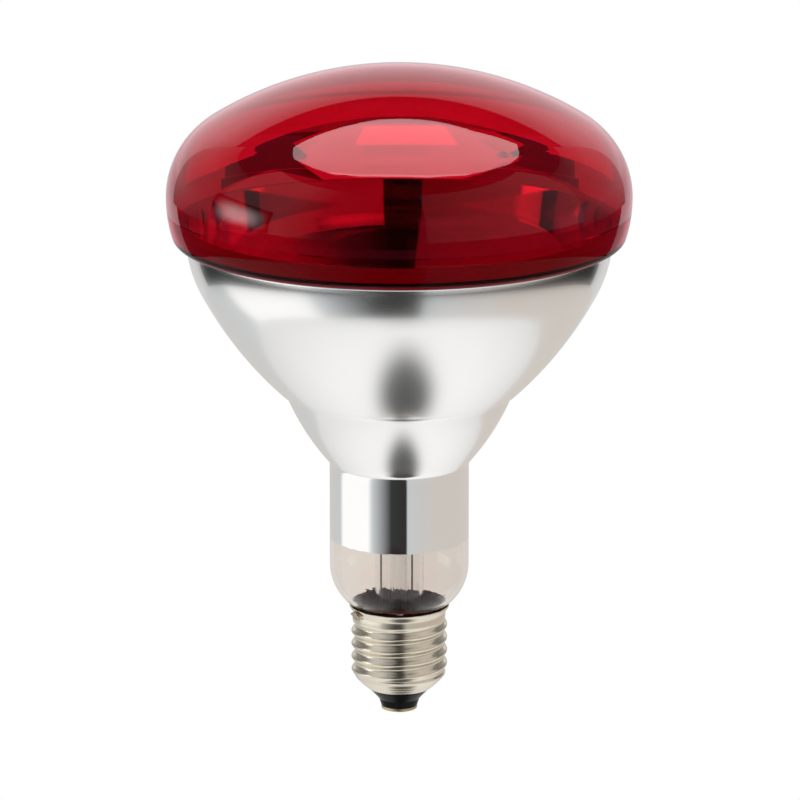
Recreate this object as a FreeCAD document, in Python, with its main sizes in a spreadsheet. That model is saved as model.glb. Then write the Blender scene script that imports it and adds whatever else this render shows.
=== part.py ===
import FreeCAD, Part
import math
import os
import Sketcher

# An infrared reflector lamp: a blown glass bulb with a red front and a silvered bowl, on a screw cap.
# The origin is the middle of the centre contact's underside and +Z points out of the red front.
# Lengths are in millimetres and angles in degrees. Heights are measured from the origin.
sizes = {
    # blown bulb, front half, downwards from the crown
    "bulb_diameter": 125.0,
    "crown_radius": 97.5,
    "shoulder_radius": 23.3,
    "side_radius": 36.4,
    "lip_drop": 12.0,
    "lip_edge_radius": 2.4,
    "lip_flat": 0.44,
    "lip_root_radius": 1.0,
    "glass_wall": 1.0,
    # blown bulb, reflector bowl, ledge and funnel
    "bowl_mouth_rise": 1.9,
    "bowl_upper_radius": 33.1,
    "bowl_upper_turn": 27.4,
    "bowl_lower_radius": 103.4,
    "ledge_radius": 32.3,
    "ledge_edge_radius": 1.6,
    "ledge_slope": 11.5,
    "ledge_root_radius": 1.3,
    "funnel_slope": 67.6,
    "funnel_radius": 67.3,
    # blown bulb, neck and throat
    "neck_radius": 18.9,
    "neck_root_radius": 2.4,
    "neck_length": 27.86,
    "throat_shoulder_radius": 14.2,
    "throat_root_radius": 4.8,
    "throat_clearance": 1.2,
    "rim_clearance": 0.75,
    "seal_share": 0.543,
    # thin layers on the glass
    "film_thickness": 0.12,
    "mirror_edge_rise": 7.6,
    # stem
    "stem_wall": 0.9,
    "seal_flat": 1.0,
    "flare_curve_radius": 3.0,
    "stem_length": 30.0,
    "press_pinch_length": 7.0,
    "press_length": 9.0,
    "press_half_width": 8.0,
    "press_half_thickness": 2.8,
    "exhaust_radius": 2.5,
    "exhaust_wall": 0.7,
    "exhaust_tip_share": 0.43,
    "exhaust_taper": 5.0,
    "rod_radius": 2.0,
    "rod_length": 24.0,
    "button_overhang": 1.6,
    "button_thickness": 4.4,
    # filament and the wires that carry it
    "filament_rise": 8.0,
    "filament_ring_radius": 13.0,
    "coil_radius": 0.95,
    "lead_radius": 0.5,
    "lead_spacing": 10.0,
    "lead_rise": 8.0,
    "lead_bend_radius": 4.0,
    "lead_overrun": 1.6,
    "support_count": 5,
    "support_wire_radius": 0.22,
    "support_rise": 5.0,
    "support_foot_reach": 1.5,
    "support_bend_radius": 1.0,
    "hook_clearance": 0.15,
    # outer leads
    "outer_lead_radius": 0.25,
    "outer_bend_radius": 2.0,
    "shell_lead_gap": 0.45,
    "contact_lead_gap": 0.75,
    "shell_lead_low_share": 0.7,
    "shell_lead_lean_drop": 2.7,
    "contact_lead_knee_share": 0.386,
    "contact_lead_lift": 0.4,
    "side_exit_angle": 211.0,
    # screw cap
    "cap_rim_height": 29.6,
    "cap_rim_flare": 0.55,
    "cap_flare_height": 2.2,
    "thread_crest_radius": 13.1,
    "thread_depth": 1.0,
    "thread_pitch": 3.629,
    "thread_phase_drop": 7.45,
    "thread_rim_gap": 3.0,
    "thread_foot_gap": 4.1,
    "thread_fade": 2.6,
    "shell_thickness": 0.3,
    "shell_foot_radius": 8.9,
    "shell_foot_height": 6.3,
    "shell_foot_fullness": 1.35,
    # cement, insulator, contact and solder
    "cement_top_gap": 0.9,
    "cement_gap": 0.15,
    "insulator_head_rise": 2.3,
    "insulator_waist_inset": 0.55,
    "insulator_waist_drop": 0.7,
    "insulator_foot_flare": 0.7,
    "insulator_foot_rise": 2.1,
    "contact_radius": 4.9,
    "contact_thickness": 0.9,
    "contact_edge_radius": 0.35,
    "contact_hole_radius": 1.3,
    "solder_blob_radius": 1.15,
    "solder_blob_offset": 0.3,
    "solder_blob_drop": 0.5,
    # fits
    "seat_clearance": 0.05,
    "wire_clearance": 0.1,
}

# Places that follow from the sizes, worked out by the sheet in this order
capInside = "cap_rim_height - insulator_head_height"
underSeal = "seal_height - insulator_head_height"
throatReach = "throat_shoulder_radius + throat_root_radius"
rimGap = "throat_radius + throat_root_radius - cap_rim_radius + shell_thickness + rim_clearance"
places = {
    "cap_rim_radius": "thread_crest_radius + cap_rim_flare",
    "thread_valley_radius": "thread_crest_radius - thread_depth",
    "thread_top_height": "cap_rim_height - thread_rim_gap",
    "thread_bottom_height": "shell_foot_height + thread_foot_gap",
    "thread_phase_height": "cap_rim_height - thread_phase_drop",
    "insulator_head_height": "shell_foot_height + insulator_head_rise",
    "insulator_waist_height": "shell_foot_height - insulator_waist_drop",
    "insulator_waist_radius": "shell_foot_radius - shell_thickness - seat_clearance"
                              " - insulator_waist_inset",
    "insulator_foot_radius": "contact_radius + insulator_foot_flare",
    "insulator_foot_height": "contact_thickness + insulator_foot_rise",
    "throat_radius": "thread_valley_radius - shell_thickness - throat_clearance",
    "throat_root_height": f"cap_rim_height - sqrt(throat_root_radius ^ 2 - ({rimGap}) ^ 2)",
    "throat_root_across": "throat_radius + throat_root_radius",
    "throat_shoulder_across": "neck_radius - throat_shoulder_radius",
    "neck_foot_height": f"throat_root_height + sqrt(({throatReach}) ^ 2"
                        " - (throat_root_across - throat_shoulder_across) ^ 2)",
    "neck_top_height": "neck_foot_height + neck_length",
    "mirror_edge_height": "neck_foot_height + mirror_edge_rise",
    "seal_height": f"insulator_head_height + ({capInside}) * seal_share",
    "stem_tube_radius": "throat_radius - flare_curve_radius - seal_flat",
    "press_base_height": "seal_height + stem_length",
    "press_waist_height": "press_base_height + press_pinch_length",
    "press_top_height": "press_waist_height + press_length",
    "exhaust_tip_height": f"insulator_head_height + ({underSeal}) * exhaust_tip_share",
    "rod_top_height": "press_top_height + rod_length",
    "button_radius": "rod_radius + button_overhang",
    "filament_height": "rod_top_height + filament_rise",
    "lead_bend_height": "press_top_height + lead_rise",
    "shell_lead_offset": "stem_tube_radius - stem_wall - outer_lead_radius - shell_lead_gap",
    "shell_lead_low_height": f"insulator_head_height + ({underSeal}) * shell_lead_low_share",
    "shell_lead_lean_height": "cap_rim_height - shell_lead_lean_drop",
    "contact_lead_offset": "exhaust_radius + outer_lead_radius + contact_lead_gap",
    "contact_lead_knee_height": f"insulator_head_height + ({underSeal}) * contact_lead_knee_share",
    "contact_lead_low_height": "insulator_head_height + contact_lead_lift",
}

sheetName = "Sizes"
samePlace = 1e-6
doc = FreeCAD.newDocument("reflector_lamp")


def addRows(sheet, rows, firstRow):
    for row, (alias, entry) in enumerate(rows.items(), start=firstRow):
        sheet.set(f"A{row}", alias)
        sheet.set(f"B{row}", f"={entry}")
        sheet.setAlias(f"B{row}", alias)
    doc.recompute()
    return firstRow + len(rows)


sheet = doc.addObject("Spreadsheet::Sheet", sheetName)
nextRow = addRows(sheet, places, addRows(sheet, sizes, 1))


def size(alias):
    return float(sheet.get(alias))


def cell(alias):
    return f"{sheetName}.{alias}"


# Outlines: edges in order, each with its end vertex optionally tied to the sheet

def lineTo(start, end, x=None, y=None):
    return {"kind": "line", "start": start, "end": end, "x": x, "y": y}


def arcEdge(centre, radius, startAngle, endAngle, radiusRule, x=None, y=None):
    return {"kind": "arc", "centre": centre, "radius": radius, "from": startAngle, "to": endAngle,
            "start": polar(centre, radius, startAngle), "end": polar(centre, radius, endAngle),
            "rule": radiusRule, "x": x, "y": y}


def polar(centre, radius, angle):
    return (centre[0] + radius * math.cos(angle), centre[1] + radius * math.sin(angle))


def newBody(label):
    body = doc.addObject("PartDesign::Body", label)
    body.Label = label
    return body


def originPlane(body, role):
    return next(f for f in body.Origin.OriginFeatures if f.Role == role)


def newSketch(body, name, role="XZ_Plane", height=None):
    sketch = body.newObject("Sketcher::SketchObject", name)
    sketch.AttachmentSupport = [(originPlane(body, role), "")]
    sketch.MapMode = "FlatFace"
    if height is not None:
        sketch.setExpression("AttachmentOffset.Base.z", height)
    return sketch


def bindConstraint(sketch, name, constraint, rule):
    index = sketch.addConstraint(constraint)
    sketch.renameConstraint(index, name)
    sketch.setExpression(f"Constraints.{name}", rule)


def drawOutline(sketch, edges):
    ends = []
    for edge in edges:
        if edge["kind"] == "line":
            start, end = (FreeCAD.Vector(*edge[key], 0) for key in ("start", "end"))
            index = sketch.addGeometry(Part.LineSegment(start, end), False)
            ends.append((index, 1, 2))
            if abs(start.x - end.x) < samePlace:
                sketch.addConstraint(Sketcher.Constraint("Vertical", index))
            elif abs(start.y - end.y) < samePlace:
                sketch.addConstraint(Sketcher.Constraint("Horizontal", index))
        else:
            circle = Part.Circle(FreeCAD.Vector(*edge["centre"], 0), FreeCAD.Vector(0, 0, 1), edge["radius"])
            low, high = sorted((edge["from"], edge["to"]))
            index = sketch.addGeometry(Part.ArcOfCircle(circle, low, high), False)
            ends.append((index, 1, 2) if edge["to"] > edge["from"] else (index, 2, 1))
            bindConstraint(sketch, f"radius{index}",
                           Sketcher.Constraint("Radius", index, edge["radius"]), edge["rule"])
    count = len(edges)
    for i in range(count):
        here, there = ends[i], ends[(i + 1) % count]
        sketch.addConstraint(Sketcher.Constraint("Coincident", here[0], here[2], there[0], there[1]))
    for edge, (index, _, endPoint) in zip(edges, ends):
        if edge["x"] == "axis":
            sketch.addConstraint(Sketcher.Constraint("PointOnObject", index, endPoint, -2))
        elif edge["x"]:
            bindConstraint(sketch, f"across{index}", Sketcher.Constraint(
                "DistanceX", -1, 1, index, endPoint, edge["end"][0]), edge["x"])
        if edge["y"]:
            bindConstraint(sketch, f"height{index}", Sketcher.Constraint(
                "DistanceY", -1, 1, index, endPoint, edge["end"][1]), edge["y"])


def revolve(body, sketch, name):
    turned = body.newObject("PartDesign::Revolution", name)
    turned.Profile = sketch
    turned.ReferenceAxis = (sketch, ["V_Axis"])
    turned.Angle = 360
    return turned


def turnedPiece(label, edges):
    body = newBody(label)
    sketch = newSketch(body, f"{label}_section")
    drawOutline(sketch, edges)
    revolve(body, sketch, f"{label}_turned")
    return body


def polygonEdges(points):
    # points are (x, y, x rule, y rule); the last point closes on the first
    count = len(points)
    return [lineTo(points[i][:2], points[(i + 1) % count][:2], points[(i + 1) % count][2],
                   points[(i + 1) % count][3]) for i in range(count)]


# The glass line: arcs from the top of the crown down to the throat, bulge 1 where they swell outwards

def headArcs():
    # the head, with heights counted from the crown's top
    crownCentre = (0, -size("crown_radius"))
    reach = size("crown_radius") - size("shoulder_radius")
    shoulderAcross = size("bulb_diameter") / 2 - size("shoulder_radius")
    widestHeight = crownCentre[1] + math.sqrt(reach ** 2 - shoulderAcross ** 2)
    shoulderCentre = (shoulderAcross, widestHeight)
    crownEnd = math.atan2(widestHeight - crownCentre[1], shoulderAcross)
    sideCentre = (size("bulb_diameter") / 2 - size("side_radius"), widestHeight)
    lipHeight = widestHeight - size("lip_drop")
    lipReach = size("side_radius") - size("lip_edge_radius")
    sideEnd = -math.asin((size("lip_drop") - size("lip_edge_radius")) / lipReach)
    lipCentre = (sideCentre[0] + lipReach * math.cos(sideEnd), lipHeight + size("lip_edge_radius"))

    rootReach = size("bowl_upper_radius") + size("lip_root_radius")
    bowlStart = -math.asin((size("bowl_mouth_rise") + size("lip_root_radius")) / rootReach)
    rootCentre = (lipCentre[0] - size("lip_flat"), lipHeight - size("lip_root_radius"))
    bowlCentre = polar(rootCentre, -rootReach, bowlStart)
    bowlBreak = -math.radians(size("bowl_upper_turn"))
    lowerCentre = polar(bowlCentre, size("bowl_upper_radius") - size("bowl_lower_radius"), bowlBreak)
    bowlEnd = -math.acos((size("ledge_radius") - lowerCentre[0]) / size("bowl_lower_radius"))
    edgeCentre = polar(lowerCentre, size("bowl_lower_radius") - size("ledge_edge_radius"), bowlEnd)
    ledgeTurn = math.radians(size("ledge_slope")) - quarter
    stepRadius = size("ledge_edge_radius") + size("ledge_root_radius")
    ledgeRootCentre = polar(edgeCentre, stepRadius, ledgeTurn)
    funnelTurn = math.radians(size("funnel_slope")) - quarter
    funnelCentre = polar(ledgeRootCentre, -size("ledge_root_radius") - size("funnel_radius"), funnelTurn)
    funnelReach = size("funnel_radius") + size("neck_root_radius")
    neckRootAcross = size("neck_radius") + size("neck_root_radius")
    funnelEnd = -math.acos((neckRootAcross - funnelCentre[0]) / funnelReach)
    neckRootCentre = polar(funnelCentre, funnelReach, funnelEnd)
    return [
        ("crown_radius", crownCentre, quarter, crownEnd, 1),
        ("shoulder_radius", shoulderCentre, crownEnd, 0, 1),
        ("side_radius", sideCentre, 0, sideEnd, 1),
        ("lip_edge_radius", lipCentre, sideEnd, -quarter, 1),
        ("lip_root_radius", rootCentre, quarter, math.pi + bowlStart, -1),
        ("bowl_upper_radius", bowlCentre, bowlStart, bowlBreak, 1),
        ("bowl_lower_radius", lowerCentre, bowlBreak, bowlEnd, 1),
        ("ledge_edge_radius", edgeCentre, bowlEnd, ledgeTurn, 1),
        ("ledge_root_radius", ledgeRootCentre, math.pi + ledgeTurn, math.pi + funnelTurn, -1),
        ("funnel_radius", funnelCentre, funnelTurn, funnelEnd, 1),
        ("neck_root_radius", neckRootCentre, math.pi + funnelEnd, math.pi, -1),
    ]


def throatArcs():
    shoulder = (size("throat_shoulder_across"), size("neck_foot_height"))
    root = (size("throat_root_across"), size("throat_root_height"))
    turn = math.atan2(root[1] - shoulder[1], root[0] - shoulder[0])
    return [
        ("throat_shoulder_radius", shoulder, 0, turn, 1),
        ("throat_root_radius", root, math.pi + turn, math.pi, -1),
    ]


def lineNames(arcs):
    return [arc[0] for arc in arcs]


def lifted(arcs, rise):
    return [(alias, (centre[0], centre[1] + rise), start, end, bulge)
            for alias, centre, start, end, bulge in arcs]


quarter = math.pi / 2
head = headArcs()
crownTop = size("neck_top_height") - head[-1][1][1]
addRows(sheet, {
    "overall_length": crownTop,
    "lip_height": crownTop + head[lineNames(head).index("lip_edge_radius")][1][1] - size("lip_edge_radius"),
}, nextRow)
glassLine = lifted(head, crownTop) + throatArcs()


def glassEdges(first, last, depth=0.0, depthRule=""):
    # the stretch of the glass line from one named arc to another, moved inwards by depth
    edges = []
    names = lineNames(glassLine)
    for alias, centre, start, end, bulge in glassLine[names.index(first):names.index(last) + 1]:
        sign = "-" if bulge > 0 else "+"
        rule = f"{cell(alias)} {sign} ({depthRule})" if depthRule else cell(alias)
        arc = arcEdge(centre, size(alias) - bulge * depth, start, end, rule)
        if edges and math.dist(edges[-1]["end"], arc["start"]) > samePlace:
            edges.append(lineTo(edges[-1]["end"], arc["start"]))
        edges.append(arc)
    return edges


def backwards(edges):
    turned = []
    for edge in reversed(edges):
        if edge["kind"] == "line":
            turned.append(lineTo(edge["end"], edge["start"]))
        else:
            turned.append(arcEdge(edge["centre"], edge["radius"], edge["to"], edge["from"], edge["rule"]))
    return turned


def closeOutline(edges):
    return edges + [lineTo(edges[-1]["end"], edges[0]["start"])]


def glassBulb():
    wall = size("glass_wall")
    outer = glassEdges("crown_radius", "throat_root_radius")
    inner = glassEdges("crown_radius", "throat_root_radius", wall, cell("glass_wall"))
    foot = (size("throat_radius"), size("seal_height"))
    innerFoot = (foot[0] - wall, foot[1])
    edges = outer + [
        lineTo(outer[-1]["end"], foot, cell("throat_radius"), cell("seal_height")),
        lineTo(foot, innerFoot),
        lineTo(innerFoot, inner[-1]["end"]),
    ] + backwards(inner)
    edges[-1]["x"] = "axis"
    edges[-1]["y"] = f"{cell('overall_length')} - {cell('glass_wall')}"
    return turnedPiece("glass_bulb", edges + [
        lineTo(inner[0]["start"], outer[0]["start"], None, cell("overall_length"))])


def redCoating():
    film = size("film_thickness")
    inner = glassEdges("crown_radius", "lip_edge_radius")
    outer = glassEdges("crown_radius", "lip_edge_radius", -film, f"-{cell('film_thickness')}")
    root = glassEdges("lip_root_radius", "lip_root_radius")[0]["start"]
    below = (root[0], root[1] - film)
    edges = outer + [
        lineTo(outer[-1]["end"], below),
        lineTo(below, root, None, cell("lip_height")),
        lineTo(root, inner[-1]["end"]),
    ] + backwards(inner)
    return turnedPiece("red_coating", closeOutline(edges))


def mirrorCoating():
    wall = size("glass_wall")
    depth = wall + size("film_thickness")
    depthRule = f"{cell('glass_wall')} + {cell('film_thickness')}"
    outer = glassEdges("lip_root_radius", "neck_root_radius", wall, cell("glass_wall"))
    inner = glassEdges("lip_root_radius", "neck_root_radius", depth, depthRule)
    low = (size("neck_radius") - wall, size("mirror_edge_height"))
    lowInner = (size("neck_radius") - depth, size("mirror_edge_height"))
    edges = outer + [
        lineTo(outer[-1]["end"], low, f"{cell('neck_radius')} - {cell('glass_wall')}",
               cell("mirror_edge_height")),
        lineTo(low, lowInner),
        lineTo(lowInner, inner[-1]["end"]),
    ] + backwards(inner)
    return turnedPiece("mirror_coating", closeOutline(edges))


# The stem: a flared tube, pinched flat at the top where the leads pass through

def stemFlare():
    seal, wall = size("seal_height"), size("stem_wall")
    rim, tube, bend = size("throat_radius"), size("stem_tube_radius"), size("flare_curve_radius")
    bendAcross = tube + bend
    bendRadius = cell("flare_curve_radius")
    top = size("press_base_height")
    body = newBody("stem_flare")
    sketch = newSketch(body, "stem_tube_section")
    centre = (bendAcross, seal + bend)
    drawOutline(sketch, [
        lineTo((tube - wall, seal + bend), (tube - wall, top),
               f"{cell('stem_tube_radius')} - {cell('stem_wall')}"),
        lineTo((tube - wall, top), (tube, top), cell("stem_tube_radius"), cell("press_base_height")),
        lineTo((tube, top), (tube, seal + bend)),
        arcEdge(centre, bend, math.pi, 1.5 * math.pi, bendRadius),
        lineTo((bendAcross, seal), (rim, seal), cell("throat_radius"), cell("seal_height")),
        lineTo((rim, seal), (rim, seal - wall), None, f"{cell('seal_height')} - {cell('stem_wall')}"),
        lineTo((rim, seal - wall), (bendAcross, seal - wall)),
        arcEdge(centre, bend + wall, 1.5 * math.pi, math.pi, f"{bendRadius} + {cell('stem_wall')}"),
    ])
    revolve(body, sketch, "stem_tube")
    tubeCircle = newSketch(body, "press_base", "XY_Plane", cell("press_base_height"))
    circle = tubeCircle.addGeometry(Part.Circle(FreeCAD.Vector(), FreeCAD.Vector(0, 0, 1), tube), False)
    tubeCircle.addConstraint(Sketcher.Constraint("Coincident", circle, 3, -1, 1))
    bindConstraint(tubeCircle, "tube", Sketcher.Constraint("Radius", circle, tube), cell("stem_tube_radius"))
    flat = pressSection(body, "press_waist", cell("press_waist_height"))
    pinch = body.newObject("PartDesign::AdditiveLoft", "press_pinch")
    pinch.Profile = tubeCircle
    pinch.Sections = [flat]
    slab = pressSection(body, "press_section", cell("press_waist_height"))
    press = body.newObject("PartDesign::Pad", "press")
    press.Profile = slab
    press.setExpression("Length", f"{cell('press_top_height')} - {cell('press_waist_height')}")
    return body


def pressSection(body, name, height):
    sketch = newSketch(body, name, "XY_Plane", height)
    wide, thick = size("press_half_width"), size("press_half_thickness")
    ellipse = Part.Ellipse(FreeCAD.Vector(wide, 0, 0), FreeCAD.Vector(0, thick, 0), FreeCAD.Vector())
    index = sketch.addGeometry(ellipse, False)
    sketch.exposeInternalGeometry(index)
    sketch.addConstraint(Sketcher.Constraint("Coincident", index, 3, -1, 1))
    major, minor = index + 1, index + 2
    sketch.addConstraint(Sketcher.Constraint("Horizontal", major))
    bindConstraint(sketch, "width", Sketcher.Constraint("Distance", major, 2 * wide),
                   f"2 * {cell('press_half_width')}")
    bindConstraint(sketch, "thickness", Sketcher.Constraint("Distance", minor, 2 * thick),
                   f"2 * {cell('press_half_thickness')}")
    return sketch


def exhaustTube():
    outer, wall = size("exhaust_radius"), size("exhaust_wall")
    tip, taper, top = size("exhaust_tip_height"), size("exhaust_taper"), size("press_base_height")
    taperRule = f"{cell('exhaust_tip_height')} + {cell('exhaust_taper')}"
    return turnedPiece("exhaust_tube", polygonEdges([
        (0, tip, None, cell("exhaust_tip_height")),
        (outer, tip + taper, cell("exhaust_radius"), taperRule),
        (outer, top, None, cell("press_base_height")),
        (outer - wall, top, f"{cell('exhaust_radius')} - {cell('exhaust_wall')}", None),
        (outer - wall, tip + taper, None, taperRule),
        (0, tip + taper - outer, "axis", f"{taperRule} - {cell('exhaust_radius')}"),
    ]))


def supportRod():
    rod, low, high = size("rod_radius"), size("press_top_height"), size("rod_top_height")
    button, thick = size("button_radius"), size("button_thickness")
    edge = thick / 2
    flat = button - edge
    centre = (flat, high - edge)
    neckHeight = centre[1] - math.sqrt(edge ** 2 - (rod - flat) ** 2)
    rule = f"{cell('button_thickness')} / 2"
    startAngle = math.atan2(neckHeight - centre[1], rod - flat)
    return turnedPiece("support_rod", [
        lineTo((0, low), (rod, low), cell("rod_radius"), cell("press_top_height")),
        lineTo((rod, low), (rod, neckHeight)),
        arcEdge(centre, edge, startAngle, quarter, rule),
        lineTo((flat, high), (0, high), "axis", cell("rod_top_height")),
        lineTo((0, high), (0, low)),
    ])


# Wires: straight runs joined by tangent arcs, with a round section

def bentPath(points, bend):
    corners = [FreeCAD.Vector(*p) for p in points]
    edges = []
    here = corners[0]
    for before, corner, after in zip(corners, corners[1:], corners[2:]):
        inward = (before - corner).normalize()
        outward = (after - corner).normalize()
        half = inward.getAngle(outward) / 2
        reach = bend / math.tan(half)
        start, end = corner + inward * reach, corner + outward * reach
        middleWay = (inward + outward).normalize()
        middle = corner + middleWay * (bend / math.sin(half) - bend)
        edges.append(Part.LineSegment(here, start).toShape())
        edges.append(Part.Arc(start, middle, end).toShape())
        here = end
    edges.append(Part.LineSegment(here, corners[-1]).toShape())
    return Part.Wire(edges)


def roundSweep(path, radius):
    first = path.Edges[0]
    begin = first.Vertexes[0].Point
    direction = (first.Vertexes[-1].Point - begin).normalize()
    section = Part.Wire([Part.Circle(begin, direction, radius).toShape()])
    return path.makePipeShell([section], True, False)


def wireFeature(label, shape):
    feature = doc.addObject("Part::Feature", label)
    feature.Label = label
    feature.Shape = shape
    return feature


def innerLead(label, side):
    # from the top of the press, leaning forward to the open end of the filament ring
    across = side * size("lead_spacing") / 2
    depth = -math.sqrt(size("filament_ring_radius") ** 2 - across ** 2)
    top = size("filament_height")
    path = bentPath([
        (across, 0, size("press_top_height")),
        (across, 0, size("lead_bend_height")),
        (across, depth, top - size("lead_bend_radius") * 2),
        (across, depth, top + size("lead_overrun")),
    ], size("lead_bend_radius"))
    return wireFeature(label, roundSweep(path, size("lead_radius")))


def filamentEndAngle():
    ring = size("filament_ring_radius")
    leadAngle = math.asin(size("lead_spacing") / 2 / ring)
    return leadAngle + (size("lead_radius") + size("wire_clearance")) / ring


def filament():
    # the outer form of the close-wound coil, an open ring with its gap at the leads
    ring, coil = size("filament_ring_radius"), size("coil_radius")
    body = newBody("filament")
    sketch = newSketch(body, "coil_section")
    circle = sketch.addGeometry(Part.Circle(
        FreeCAD.Vector(ring, size("filament_height"), 0), FreeCAD.Vector(0, 0, 1), coil), False)
    bindConstraint(sketch, "coil", Sketcher.Constraint("Radius", circle, coil), cell("coil_radius"))
    bindConstraint(sketch, "ring", Sketcher.Constraint("DistanceX", -1, 1, circle, 3, ring),
                   cell("filament_ring_radius"))
    bindConstraint(sketch, "level", Sketcher.Constraint("DistanceY", -1, 1, circle, 3,
                                                        size("filament_height")), cell("filament_height"))
    turned = revolve(body, sketch, "coil_turned")
    gap = math.degrees(filamentEndAngle())
    turned.Angle = 360 - 2 * gap
    turned.Reversed = False
    body.Placement = FreeCAD.Placement(FreeCAD.Vector(), FreeCAD.Rotation(FreeCAD.Vector(0, 0, 1), -90 + gap))
    return body


def supportWire(number):
    # a straight shank out of the button, ending in an open hook under the coil
    ring, level = size("filament_ring_radius"), size("filament_height")
    hook = size("coil_radius") + size("hook_clearance") + size("support_wire_radius")
    wire = size("support_wire_radius")
    shank = (size("button_radius") + size("wire_clearance") + wire,
             size("rod_top_height") - size("button_thickness") / 2)
    foot = (ring - hook - size("support_foot_reach"), level - size("support_rise"))
    hookStart = (ring - hook, level)
    a = FreeCAD.Vector(shank[0], 0, shank[1])
    b = FreeCAD.Vector(foot[0], 0, foot[1])
    c = FreeCAD.Vector(hookStart[0], 0, hookStart[1])
    shankPath = bentPath([a, b, c], size("support_bend_radius"))
    crossing = FreeCAD.Vector(ring, 0, level + hook)
    end = FreeCAD.Vector(ring + hook, 0, level)
    path = Part.Wire(shankPath.Edges + [Part.Arc(c, crossing, end).toShape()])
    feature = wireFeature(f"support_wire_{number}", roundSweep(path, wire))
    spread = 2 * (math.pi - filamentEndAngle())
    step = spread / (size("support_count") + 1)
    angle = math.degrees(-quarter + filamentEndAngle() + step * number)
    feature.Placement = FreeCAD.Placement(FreeCAD.Vector(), FreeCAD.Rotation(FreeCAD.Vector(0, 0, 1), angle))
    return feature


# The screw cap: one rolled sheet whose thread fades into a plain rim above and a rounded foot below

def shellLine(along):
    # the unthreaded outer line of the shell, from the rim (0) to the foot (1), by height
    rim, foot = size("cap_rim_height"), size("shell_foot_height")
    height = rim + (foot - rim) * along
    middle = (size("thread_crest_radius") + size("thread_valley_radius")) / 2
    flareShare = max(0.0, 1 - (rim - height) / size("cap_flare_height"))
    radius = middle + (size("cap_rim_radius") - middle) * flareShare ** 2 * (3 - 2 * flareShare)
    low = size("thread_bottom_height")
    if height < low:
        share = (low - height) / (low - foot)
        radius -= (middle - size("shell_foot_radius")) * share ** size("shell_foot_fullness")
    return radius, height


def smoothStep(value):
    share = min(1.0, max(0.0, value))
    return share * share * (3 - 2 * share)


def threadDepth(height):
    # how far the crests stand out at a height, dying away over the fade length at both ends
    half = (size("thread_crest_radius") - size("thread_valley_radius")) / 2
    fade = size("thread_fade")
    below = smoothStep((size("thread_top_height") - height) / fade)
    above = smoothStep((height - size("thread_bottom_height") + fade / 2) / fade)
    return half * below * above


def threadSwing(angle, height):
    turn = (height - size("thread_phase_height")) / size("thread_pitch")
    return threadDepth(height) * math.cos(2 * math.pi * turn - (angle - math.pi))


def shellForm(inset, rows=64, columns=24):
    # one closed ring of the rolled sheet at each height, joined by a smooth loft
    rings = []
    shares = [column / columns for column in range(columns + 1)]
    for row in range(rows + 1):
        radius, height = shellLine(row / rows)
        points = []
        for share in shares[:-1]:
            angle = 2 * math.pi * share
            reach = radius + threadSwing(angle, height) - inset
            points.append(FreeCAD.Vector(reach * math.cos(angle), reach * math.sin(angle), height))
        ring = Part.BSplineCurve()
        ring.interpolate(Points=points, PeriodicFlag=True, Parameters=shares)
        rings.append(Part.Wire([ring.toShape()]))
    return Part.makeLoft(rings, True, False)


def capShell():
    return wireFeature("cap_shell", shellForm(0).cut(shellForm(size("shell_thickness"))))


def shellInnerRadius(height):
    # the narrowest reach of the shell's inner face at a height
    tall = size("cap_rim_height") - size("shell_foot_height")
    radius, _ = shellLine((size("cap_rim_height") - height) / tall)
    return radius - threadDepth(height) - size("shell_thickness")


def sideExit(radius, height):
    angle = math.radians(size("side_exit_angle"))
    return (radius * math.cos(angle), radius * math.sin(angle), height)


def sideLeadRadius():
    # the side lead runs up inside the shell, midway between its valleys and the glass
    return (shellInnerRadius(size("seal_height")) + size("throat_radius")) / 2


def shellLeadPoints():
    low = size("shell_lead_low_height")
    inside = sideLeadRadius()
    atRim = size("cap_rim_radius") - size("shell_thickness") - 2 * size("outer_lead_radius")
    return [(-size("shell_lead_offset"), 0, size("press_base_height")),
            (-size("shell_lead_offset"), 0, low), sideExit(inside, low),
            sideExit(inside, size("shell_lead_lean_height")),
            sideExit(atRim, size("cap_rim_height") - size("wire_clearance"))]


def shellLead():
    return wireFeature("shell_lead", roundSweep(bentPath(shellLeadPoints(), size("outer_bend_radius")),
                                                size("outer_lead_radius")))


def contactLead():
    across = size("contact_lead_offset")
    path = bentPath([
        (across, 0, size("press_base_height")),
        (across, 0, size("contact_lead_knee_height")),
        (0, 0, size("contact_lead_low_height")),
        (0, 0, size("contact_thickness")),
    ], size("outer_bend_radius"))
    return wireFeature("contact_lead", roundSweep(path, size("outer_lead_radius")))


def throatEdgesBelow(top):
    # the glass line of the throat from a height downwards
    edges = []
    for alias, centre, start, end, bulge in throatArcs():
        radius = size(alias)
        if polar(centre, radius, end)[1] >= top:
            continue
        if polar(centre, radius, start)[1] > top:
            rise = math.asin((top - centre[1]) / radius)
            start = rise if bulge > 0 else math.pi - rise
        edges.append(arcEdge(centre, radius, start, end, cell(alias)))
    return edges


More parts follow.
